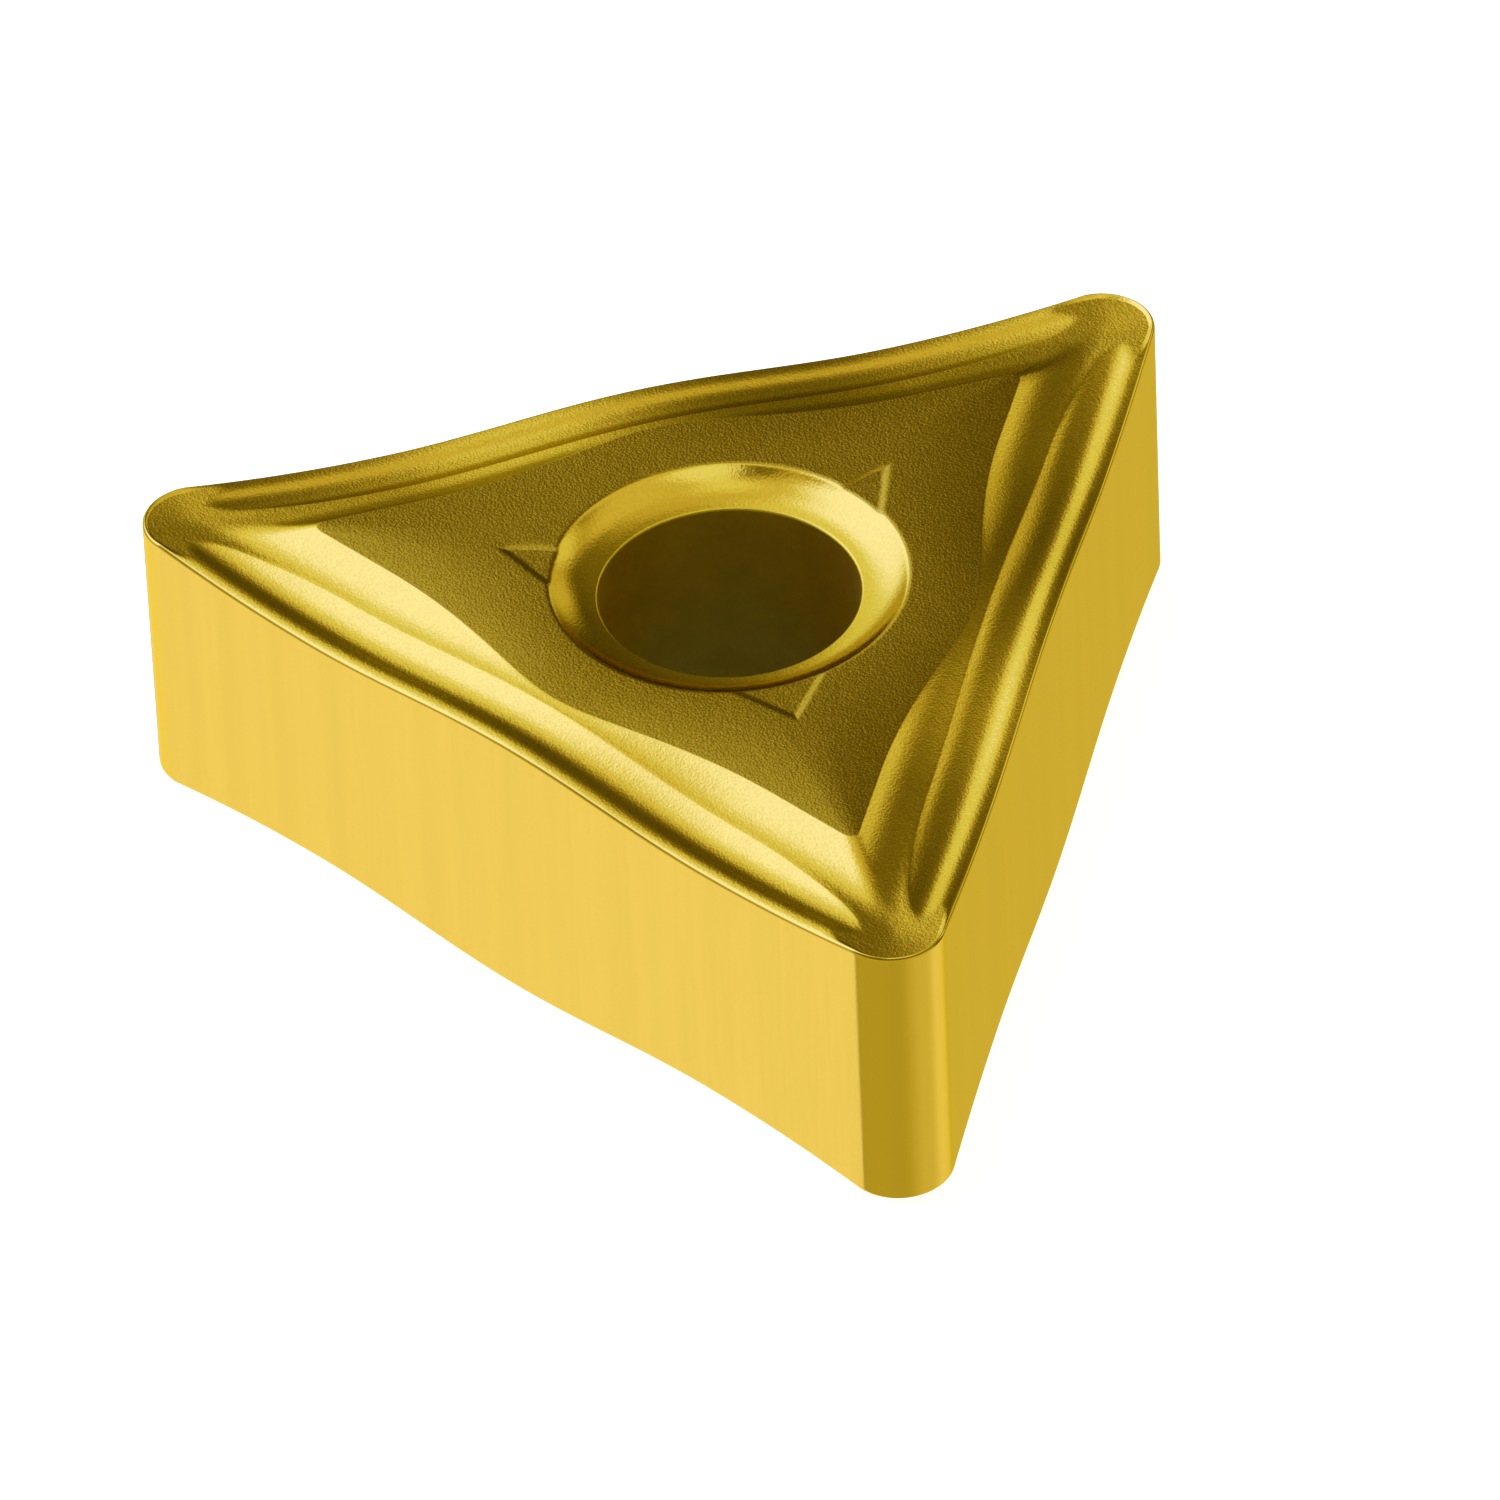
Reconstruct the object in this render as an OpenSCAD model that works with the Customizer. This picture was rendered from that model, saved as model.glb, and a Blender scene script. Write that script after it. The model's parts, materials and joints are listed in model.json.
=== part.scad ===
// Indexable cutting insert: a triangle with rounded noses, a through bore,
// a waved cutting edge and a pressed chip breaker on both faces.
// Millimetres. The bore axis is the Z axis and the mid-plane is Z = 0.
// One nose points along -Y, the other two at 30 and 150 degrees.

/* [Outline] */

// Diameter of the circle that touches all three flanks
inscribed_circle = 9.525; // [8.6:0.005:10.5]
// Radius of each of the three noses
nose_radius = 0.8; // [0.4:0.05:1.2]

/* [Height] */

// Thickness from the upper seat to the lower seat
seat_thickness = 4.80; // [4.4:0.02:5.4]
// How far the edge at the noses lies below the seat
nose_drop = 0.14; // [0.08:0.01:0.2]

/* [Cutting edge] */

// How far the lowest part of the edge lies below the nose
edge_dip = 0.205; // [0.1:0.005:0.28]
// How far the middle of the edge rises above the nose
edge_crest = 0.016; // [0:0.002:0.03]
// Place of the lowest part, as a share of the half side from its middle
dip_place = 0.56; // [0.45:0.01:0.65]
// Width of the flat land right behind the edge
land_width = 0.05; // [0.02:0.01:0.1]

/* [Chip groove] */

// Distance from the edge to the bottom of the groove
groove_centre = 0.41; // [0.34:0.01:0.48]
// Radius of the groove across the edge
groove_radius = 0.95; // [0.85:0.01:1.2]

/* [Scalloped wall] */

// Distance from the edge to the foot of the wall
wall_foot = 0.974; // [0.9:0.002:1.1]
// Height of the foot of the wall above the edge beside it
wall_foot_rise = 0.117; // [0.09:0.001:0.13]
// Radius of the wall across the edge
wall_radius = 1.09; // [0.95:0.01:1.3]
// Rise of the floor from the foot of the wall out to the groove, per mm
floor_slope = 0.07; // [0.05:0.01:0.12]
// Width over which the wall turns its blunt corner at a nose
corner_blend_width = 0.25; // [0.1:0.05:0.4]

/* [Hole] */

// Diameter of the through bore
bore_diameter = 3.81; // [3.2:0.01:4.2]
// Diameter of the dished countersink where it meets the seat
dish_diameter = 5.2; // [4.8:0.02:5.6]
// Depth of the dish from the seat to the rim of the bore
dish_depth = 0.296; // [0.2:0.002:0.4]
// Radius of the dish in section
dish_radius = 1.26; // [1:0.02:2]

/* [Corner pockets of the hole] */

// Distance from the bore axis to the tip of each pocket
pocket_reach = 3.44; // [3.1:0.02:3.7]
// Angle between the two sides of a pocket at its tip
pocket_angle = 76; // [60:1:90]
// Depth of the pockets below the seat
pocket_depth = 0.025; // [0.015:0.005:0.08]
// Width of the sloping side of a pocket, seen from above
pocket_side = 0.12; // [0.04:0.01:0.16]

/* [Part to show] */

// Which part is drawn

/* [Hidden] */

// Steps along half a side, round half a nose, across the groove, the wall and the dish
side_steps = 14;
nose_steps = 4;
groove_steps = 7;
wall_steps = 5;
dish_steps = 8;
// Steps of a full circle, and of each halving search
circle_steps = 96;
halvings = 24;
// How far the pressed faces reach past the outline, and the cuts past the faces
overhang = 0.15;
cut_overhang = 0.5;
// How far a pocket's arms run on inside the dish
pocket_overlap = 0.14;
// Share of a ray that is kept between the ridge and the seat
ridge_gap = 0.02;
// Smallest square that a root is taken of
least_square = 0.0004;

sides = 3;
side_turn = 360 / sides;
half_turn = side_turn / 2;
first_nose = 90 - half_turn;

rho = inscribed_circle / 2;
seat_z = seat_thickness / 2;
nose_z = seat_z - nose_drop;
tangent_u = (rho - nose_radius) * tan(half_turn);
groove_drop = groove_radius - sqrt(pow(groove_radius, 2) - pow(groove_centre - land_width, 2));
corner_foot_z = nose_z - edge_dip + wall_foot_rise;
tip_depth = wall_foot + sqrt(pow(wall_radius, 2) - pow(wall_radius - (seat_z - corner_foot_z), 2));
tip_rho = rho - tip_depth;

// Drop of the edge below the nose; q is 0 at mid-side and 1 at the nose
function dip(q) = q < dip_place
    ? -edge_crest + (edge_dip + edge_crest) * (1 - cos(180 * q / dip_place)) / 2
    : edge_dip * (1 - pow((q - dip_place) / (1 - dip_place), 2));
// Height of the cutting edge beside a point u along the side
function edge_z(u) = nose_z - dip(min(1, u / tangent_u));
// Height of the foot of the wall: it follows the edge down and stays down
function foot_z(u) = nose_z + wall_foot_rise
    - (u / tangent_u < dip_place ? dip(u / tangent_u) : edge_dip);

// Section of the groove: flat land, then an arc; d is the depth behind the edge
function groove_at(d) = d < land_width ? 0
    : groove_radius - sqrt(max(least_square, pow(groove_radius, 2) - pow(d - groove_centre, 2))) - groove_drop;
// Section of the wall: a gentle floor outside its foot and an arc inside it
function wall_at(d) = d < wall_foot ? (wall_foot - d) * floor_slope
    : wall_radius - sqrt(max(least_square, pow(wall_radius, 2) - pow(d - wall_foot, 2)));

// Distance of a point behind the outline; p is [along the side, out from the axis]
function depth_at(p) = p[0] > tangent_u
    ? nose_radius - norm(p - [tangent_u, rho - nose_radius])
    : rho - p[1];
// Distance from the axis towards the next side, for a point of this side
function next_e(p) = p[0] * sin(side_turn) + p[1] * cos(side_turn);
// How much the wall stays back near the line between two sides
function corner_cut(p) = corner_blend_width / 4
    * pow(max(0, 1 - abs(p[1] - next_e(p)) / corner_blend_width), 2);
function groove_z(p) = edge_z(p[0]) + groove_at(depth_at(p));
function wall_z(p) = foot_z(p[0]) + wall_at(depth_at(p) - corner_cut(p));
function low_z(p) = min(groove_z(p), wall_z(p));

// A ray runs from the outline at t = 0 to the inside at t = 1.
// Rays of the straight side carry s from 0 to 1, rays of the nose 1 to 2.
function rounded(s, reach, radius) =
    let(centre = [(reach - radius) * tan(half_turn), reach - radius], turn = half_turn * (s - 1))
    s <= 1 ? [s * centre[0], reach] : centre + radius * [sin(turn), cos(turn)];
function ray_at(s, t) = (1 - t) * rounded(s, rho, nose_radius) + t * rounded(s, tip_rho, corner_blend_width);

// Halving searches along one ray
function t_of_depth(s, d, a, b, n) = n == 0 ? (a + b) / 2
    : depth_at(ray_at(s, (a + b) / 2)) < d ? t_of_depth(s, d, (a + b) / 2, b, n - 1)
    : t_of_depth(s, d, a, (a + b) / 2, n - 1);
function t_of_ridge(s, a, b, n) = n == 0 ? (a + b) / 2
    : groove_z(ray_at(s, (a + b) / 2)) < wall_z(ray_at(s, (a + b) / 2)) ? t_of_ridge(s, (a + b) / 2, b, n - 1)
    : t_of_ridge(s, a, (a + b) / 2, n - 1);
function t_of_seat(s, a, b, n) = n == 0 ? (a + b) / 2
    : low_z(ray_at(s, (a + b) / 2)) < seat_z ? t_of_seat(s, (a + b) / 2, b, n - 1)
    : t_of_seat(s, a, (a + b) / 2, n - 1);

// Points of one ray from the overhang to the seat, in [u, e, z]
function ray_points(s) =
    let(t_land = t_of_depth(s, land_width, 0, 1, halvings),
        t_floor = t_of_depth(s, groove_centre, 0, 1, halvings),
        t_seat = t_of_seat(s, t_floor, 1, halvings),
        t_ridge = min(t_of_ridge(s, t_floor, 1, halvings), t_seat - ridge_gap),
        p0 = ray_at(s, -overhang / tip_depth))
    concat(
        [[p0[0], p0[1], edge_z(p0[0])]],
        [for (k = [0 : groove_steps - 1])
            let(p = ray_at(s, t_land + (t_ridge - t_land) * k / groove_steps))
            [p[0], p[1], min(seat_z, low_z(p))]],
        [for (k = [0 : wall_steps - 1])
            let(p = ray_at(s, t_ridge + (t_seat - t_ridge) * k / wall_steps))
            [p[0], p[1], min(seat_z, low_z(p))]],
        [let(p = ray_at(s, t_seat)) [p[0], p[1], seat_z]]);

rings = groove_steps + wall_steps + 2;
// No ray starts where the flank meets the round of the nose, so the seam between them stays clean
half_list = concat([for (k = [0 : side_steps - 1]) k / side_steps],
    [for (k = [1 : nose_steps]) 1 + (k - 0.5) / (nose_steps - 0.5)]);
half_rays = [for (s = half_list) ray_points(s)];
last = len(half_list) - 1;

// Rays of one side in order, from one nose to the last before the next nose
side_rays = concat(
    [for (k = [last : -1 : 0]) [for (p = half_rays[k]) [p[0], p[1], p[2]]]],
    [for (k = [1 : last - 1]) [for (p = half_rays[k]) [-p[0], p[1], p[2]]]]);
side_count = len(side_rays);
ray_count = sides * side_count;

function turned(p, a) = [p[0] * cos(a) - p[1] * sin(a), p[0] * sin(a) + p[1] * cos(a), p[2]];
upper = [for (side = [0 : sides - 1]) for (ray = side_rays) for (p = ray) turned(p, side_turn * side)];
lower = [for (p = upper) [p[0], p[1], -p[2]]];
vertex_count = len(upper);

// Index of point j of ray i, counted round the insert
function at(i, j) = (i % ray_count) * rings + j;

upper_faces = [for (i = [0 : ray_count - 1]) for (j = [0 : rings - 2])
    for (f = [[at(i, j), at(i, j + 1), at(i + 1, j + 1)], [at(i, j), at(i + 1, j + 1), at(i + 1, j)]]) f];
cap_faces = [for (i = [0 : ray_count - 1]) [at(i, rings - 1), 2 * vertex_count, at(i + 1, rings - 1)]];
rim_faces = [for (i = [0 : ray_count - 1])
    for (f = [[at(i, 0), at(i + 1, 0), at(i + 1, 0) + vertex_count],
              [at(i, 0), at(i + 1, 0) + vertex_count, at(i, 0) + vertex_count]]) f];
lower_faces = [for (f = concat(upper_faces, cap_faces))
    [for (v = [f[2], f[1], f[0]]) v == 2 * vertex_count ? v + 1 : v + vertex_count]];

// Both pressed faces as one closed body that reaches past the outline
module pressed_faces() {
    polyhedron(points = concat(upper, lower, [[0, 0, seat_z], [0, 0, -seat_z]]),
        faces = concat(upper_faces, cap_faces, rim_faces, lower_faces), convexity = 6);
}

// The ground outline: three flat flanks and three round noses
module outline() {
    linear_extrude(height = seat_thickness + 2 * cut_overhang, center = true) {
        polygon([for (side = [0 : sides - 1]) for (u = [tangent_u, -tangent_u])
            let(p = turned([u, rho, 0], side_turn * side)) [p[0], p[1]]]);
        for (side = [0 : sides - 1]) rotate([0, 0, first_nose + side_turn * side])
            translate([(rho - nose_radius) / cos(half_turn), 0]) rotate([0, 0, 180])
                circle(r = nose_radius, $fn = circle_steps);
    }
}

// The dish of one face: an arc turned round the bore axis
bore_r = bore_diameter / 2;
dish_r = dish_diameter / 2;
rim_z = seat_z - dish_depth;
chord = [dish_r - bore_r, dish_depth];
chord_lift = sqrt(pow(dish_radius, 2) - pow(norm(chord) / 2, 2)) / norm(chord);
dish_centre = [bore_r, rim_z] + chord / 2 + chord_lift * [-chord[1], chord[0]];
dish_from = atan2(bore_r - dish_centre[0], dish_centre[1] - rim_z);
dish_to = atan2(dish_r - dish_centre[0], dish_centre[1] - seat_z);
module dish() {
    rotate_extrude($fn = circle_steps)
        polygon(concat([[0, rim_z]],
            [for (k = [0 : dish_steps]) let(a = dish_from + (dish_to - dish_from) * k / dish_steps)
                dish_centre + dish_radius * [sin(a), -cos(a)]],
            [[dish_r, seat_z + cut_overhang], [0, seat_z + cut_overhang]]));
}

// One corner pocket beside the dish, a shallow wedge that points to a nose
module pocket() {
    half = pocket_angle / 2;
    arm = pocket_reach * cos(half) + pocket_overlap
        - sqrt(max(least_square, pow(dish_r, 2) - pow(pocket_reach * sin(half), 2)));
    slope = pocket_side / pocket_depth;
    function corner(z) = pocket_reach - (seat_z - z) * slope / sin(half);
    function ring(z) = [[corner(z), 0, z],
        [corner(z) - arm * cos(half), arm * sin(half), z],
        [corner(z) - arm * cos(half), -arm * sin(half), z]];
    polyhedron(points = concat(ring(seat_z + pocket_depth / 2), ring(seat_z - pocket_depth)),
        faces = [[0, 2, 1], [3, 4, 5], [0, 1, 4], [0, 4, 3], [1, 2, 5], [1, 5, 4], [2, 0, 3], [2, 3, 5]]);
}

module hole_cut() {
    cylinder(h = seat_thickness + 2 * cut_overhang, r = bore_r, center = true, $fn = circle_steps);
    for (face = [1, -1]) rotate([face > 0 ? 0 : 180, 0, 0]) {
        dish();
        for (side = [0 : sides - 1]) rotate([0, 0, face * first_nose + side_turn * side]) pocket();
    }
}

// The whole insert is one sintered piece
module insert() {
    color("goldenrod") difference() {
        intersection() {
            pressed_faces();
            outline();
        }
        hole_cut();
    }
}

insert();
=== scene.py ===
"""Looks of a carbide turning insert: one pressed and ground body, its finishes and its studio.

Shapes are worked out in millimetres and put into the meshes in metres. The bore axis is Z, the
mid-plane is Z = 0, and one nose points along -Y.
"""

import json
import logging
import math
from collections.abc import Callable
from dataclasses import dataclass
from enum import Enum

import bpy
import numpy as np
from mathutils import Matrix, Vector

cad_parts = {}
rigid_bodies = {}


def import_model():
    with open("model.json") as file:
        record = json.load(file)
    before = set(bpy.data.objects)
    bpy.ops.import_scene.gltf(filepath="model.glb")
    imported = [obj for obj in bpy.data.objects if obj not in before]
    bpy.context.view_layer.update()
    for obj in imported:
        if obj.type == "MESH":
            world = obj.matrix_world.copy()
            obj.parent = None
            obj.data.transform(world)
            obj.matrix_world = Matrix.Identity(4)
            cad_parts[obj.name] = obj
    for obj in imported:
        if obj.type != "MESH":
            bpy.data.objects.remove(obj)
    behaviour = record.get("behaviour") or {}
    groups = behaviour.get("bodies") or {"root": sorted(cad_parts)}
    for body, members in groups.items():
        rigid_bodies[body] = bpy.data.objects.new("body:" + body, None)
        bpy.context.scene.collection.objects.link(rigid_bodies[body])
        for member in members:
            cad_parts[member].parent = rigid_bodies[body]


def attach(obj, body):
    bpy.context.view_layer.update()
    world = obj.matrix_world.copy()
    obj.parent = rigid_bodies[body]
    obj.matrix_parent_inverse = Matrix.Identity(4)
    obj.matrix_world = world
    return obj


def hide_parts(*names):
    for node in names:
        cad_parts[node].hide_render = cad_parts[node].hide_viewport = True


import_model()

MM = 0.001
ROOT_3 = math.sqrt(3.0)
# Turn about the bore axis from the middle of a side to a nose
HALF_SIDE_TURN = math.radians(60.0)
# Least value kept under a root where a circle no longer reaches, in square millimetres
LEAST_SQUARE = 4e-4
log = logging.getLogger("insert")


class Zone(Enum):
    """Areas of the insert that were finished in different ways; the seat's darker tones are painted
    shade.
    """

    GROUND = 0
    PRESSED = 1
    SEAT = 2
    DISH = 3
    BORE = 4


class Ray(Enum):
    """Kinds of light ray that see the plain background as white."""

    CAMERA = "Is Camera Ray"
    GLOSSY = "Is Glossy Ray"
    TRANSMISSION = "Is Transmission Ray"


def soft_min(a: np.ndarray, b: np.ndarray, blend: float) -> np.ndarray:
    """Take the lower of two heights, with the crease between them rounded.

    Formula: where the two differ by less than blend, with h = 1 - |a - b| / blend, the lower one
    goes down by a further h squared times a quarter of blend.

    Args:
        a: First heights.
        b: Second heights.
        blend: Difference in height below which the two blend.

    Returns:
        The blended lower heights.
    """
    h = np.maximum(blend - np.abs(a - b), 0.0) / blend
    return np.minimum(a, b) - h * h * blend / 4.0


def smooth_step(low: float, high: float, value: np.ndarray) -> np.ndarray:
    """Rise from 0 at low to 1 at high along 3t^2 - 2t^3.

    Args:
        low: Value where the rise starts.
        high: Value where the rise ends.
        value: Values to look up.

    Returns:
        Shares from 0 to 1.
    """
    t = np.clip((value - low) / (high - low), 0.0, 1.0)
    return t * t * (3.0 - 2.0 * t)


def even_steps(a: np.ndarray, b: np.ndarray, count: int) -> np.ndarray:
    """Take even steps from one place to another, both ends included.

    Args:
        a: Where each column starts.
        b: Where each column ends.
        count: How many places each column gets.

    Returns:
        Places as (column, step).
    """
    return a[:, None] + (b - a)[:, None] * np.linspace(0.0, 1.0, count)


def direction(azimuth: float, elevation: float) -> Vector:
    """Unit vector at an azimuth from +X and an elevation, both in degrees."""
    a, e = math.radians(azimuth), math.radians(elevation)
    return Vector((math.cos(e) * math.cos(a), math.cos(e) * math.sin(a), math.sin(e)))


@dataclass(frozen=True)
class Outline:
    """Plan of the insert: three flat flanks and three round noses, in millimetres."""

    inscribed_diameter: float = 9.525
    nose_radius: float = 0.8
    seat_thickness: float = 4.80

    @property
    def flank_reach(self) -> float:
        """Distance from the bore axis to a flank."""
        return self.inscribed_diameter / 2.0

    @property
    def seat_z(self) -> float:
        """Height of the upper seat."""
        return self.seat_thickness / 2.0

    @property
    def tangent_u(self) -> float:
        """Distance along a side from its middle to where the nose begins."""
        return (self.flank_reach - self.nose_radius) * ROOT_3

    def start(self, s: np.ndarray) -> np.ndarray:
        """Points of half a side's outline, from the middle of the side to the middle of the nose.

        Formula: s from 0 to 1 runs along the flank, and from 1 to 2 through 60 degrees of the
        nose's circle.

        Args:
            s: Places along the outline.

        Returns:
            Points as (u, e): along the side, and outwards from the bore axis.
        """
        turn = HALF_SIDE_TURN * np.clip(s - 1.0, 0.0, 1.0)
        along = np.minimum(s, 1.0) * self.tangent_u
        u = along + self.nose_radius * np.sin(turn)
        e = self.flank_reach - self.nose_radius * (1.0 - np.cos(turn))
        return np.stack([u, e], axis=-1)

    def depth(self, u: np.ndarray, e: np.ndarray) -> np.ndarray:
        """Distance of points behind the outline.

        Formula: beside the flank it is the flank's reach less e, and beyond the tangent point it
        is the nose radius less the distance from the nose's centre.

        Args:
            u: Places along the side, 0 or more.
            e: Places outwards from the bore axis.

        Returns:
            Distances behind the outline.
        """
        beside_nose = self.nose_radius - np.hypot(u - self.tangent_u,
                                                  e - self.flank_reach + self.nose_radius)
        return np.where(u > self.tangent_u, beside_nose, self.flank_reach - e)


@dataclass(frozen=True)
class PressedFace:
    """Chip breaker of one face: waved edge, groove and scalloped wall, in millimetres."""

    outline: Outline
    nose_drop: float = 0.14
    edge_dip: float = 0.205
    edge_crest: float = 0.016
    dip_place: float = 0.56
    hone_radius: float = 0.055
    crown_depth: float = 0.154
    steepest_depth: float = 0.31
    groove_centre: float = 0.468
    groove_outer_radius: float = 0.48
    groove_radius: float = 0.88
    wall_foot: float = 0.86
    wall_foot_rise: float = 0.0952
    wall_foot_wave: float = 1.04
    wall_radius: float = 1.30
    floor_slope: float = 0.07
    corner_blend: float = 0.25
    blunt_depths: tuple[float, float] = (0.6, 1.1)
    crease_blend: float = 0.010

    @property
    def nose_z(self) -> float:
        """Height of the cutting edge at the noses."""
        return self.outline.seat_z - self.nose_drop

    def dip(self, q: np.ndarray) -> np.ndarray:
        """Drop of the edge below the nose along half a side.

        Formula: half a cosine wave from the crest at mid-side to the lowest place, then a
        parabola from there up to the nose.

        Args:
            q: Places along the half side, 0 in the middle and 1 at the nose.

        Returns:
            Drops below the height at the nose.
        """
        near = (self.edge_dip + self.edge_crest) * (1.0 - np.cos(np.pi * q / self.dip_place)) / 2.0
        far = self.edge_dip * (1.0 - ((q - self.dip_place) / (1.0 - self.dip_place)) ** 2)
        return np.where(q < self.dip_place, near - self.edge_crest, far)

    def edge_z(self, u: np.ndarray) -> np.ndarray:
        """Height of the cutting edge beside places u along the side."""
        return self.nose_z - self.dip(np.minimum(1.0, u / self.outline.tangent_u))

    def foot_z(self, u: np.ndarray) -> np.ndarray:
        """Height of the wall's foot.

        Formula: it goes down with the edge, a little faster, to the edge's lowest place, and
        stays at that height from there to the nose.

        Args:
            u: Places along the side, 0 or more.

        Returns:
            Heights.
        """
        q = u / self.outline.tangent_u
        drop = np.where(q < self.dip_place, self.dip(q), self.edge_dip)
        return self.nose_z + self.wall_foot_rise - self.wall_foot_wave * drop

    def arc(self, d: np.ndarray, centre: float, radius: float | np.ndarray) -> np.ndarray:
        """Height of a round trough over its bottom: its radius less the root of r^2 - (d - c)^2."""
        return radius - np.sqrt(np.maximum(LEAST_SQUARE, radius**2 - (d - centre) ** 2))

    @property
    def steepest_slope(self) -> float:
        """Slope of the section at its steepest place, in radians."""
        return math.asin((self.groove_centre - self.steepest_depth) / self.groove_outer_radius)

    @property
    def crown_radius(self) -> float:
        """Radius of the edge's crown, which ends at the steepest place."""
        return (self.steepest_depth - self.crown_depth) / math.sin(self.steepest_slope)

    def hone(self, count: int) -> tuple[np.ndarray, np.ndarray]:
        """Section of the hone, from the flank to the crown.

        Formula: a circle that touches both the upright flank and the crown's circle from inside,
        so its centre lies at the difference of the two radii from the crown's centre.

        Args:
            count: How many points it has.

        Returns:
            The points' distances behind the outline and heights over the edge.
        """
        apart = self.crown_radius - self.hone_radius
        lean = math.asin((self.crown_depth - self.hone_radius) / apart)
        turn = np.linspace(0.0, math.pi / 2.0 - lean, count)
        centre_z = apart * math.cos(lean) - self.crown_radius
        return self.hone_radius * (1.0 - np.cos(turn)), centre_z + self.hone_radius * np.sin(turn)

    def groove(self, d: np.ndarray) -> np.ndarray:
        """Height of the groove's section over the edge.

        Formula: a round crown that falls to both sides, a round trough from the steepest place
        to the bottom, and a wider one from there up to the ridge.

        Args:
            d: Distances behind the outline.

        Returns:
            Heights over the edge.
        """
        sum_of_radii = self.crown_radius + self.groove_outer_radius
        bottom = -sum_of_radii * (1.0 - math.cos(self.steepest_slope))
        radius = np.where(d < self.groove_centre, self.groove_outer_radius, self.groove_radius)
        trough = bottom + self.arc(d, self.groove_centre, radius)
        crown = -self.arc(d, self.crown_depth, self.crown_radius)
        return np.where(d < self.steepest_depth, crown, trough)

    def wall(self, d: np.ndarray) -> np.ndarray:
        """Height of the wall's section over its foot: a gentle floor, then a round rise."""
        floor = (self.wall_foot - d) * self.floor_slope
        return np.where(d < self.wall_foot, floor, self.arc(d, self.wall_foot, self.wall_radius))

    def wall_depth(self, u: np.ndarray, e: np.ndarray) -> np.ndarray:
        """Depth that the wall follows, with its corner at the nose blunted.

        Formula: well inside the nose, e is replaced by the soft larger of e and the distance
        towards the neighbouring side, 0.866 u - 0.5 e.

        Args:
            u: Places along the side.
            e: Places outwards from the bore axis.

        Returns:
            Distances behind the outline.
        """
        other = ROOT_3 / 2.0 * u - 0.5 * e
        inner = self.outline.flank_reach + soft_min(-e, -other, self.corner_blend)
        plain = self.outline.depth(u, e)
        return plain + (inner - plain) * smooth_step(*self.blunt_depths, plain)

    def groove_z(self, u: np.ndarray, e: np.ndarray) -> np.ndarray:
        """Height of the groove's surface."""
        return self.edge_z(u) + self.groove(self.outline.depth(u, e))

    def wall_z(self, u: np.ndarray, e: np.ndarray) -> np.ndarray:
        """Height of the wall's surface."""
        return self.foot_z(u) + self.wall(self.wall_depth(u, e))

    def height(self, u: np.ndarray, e: np.ndarray) -> np.ndarray:
        """Height of the face outside the hole: the soft lowest of groove, wall and seat."""
        low = soft_min(self.groove_z(u, e), self.wall_z(u, e), self.crease_blend)
        return soft_min(low, np.full_like(low, self.outline.seat_z), self.crease_blend)


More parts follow.
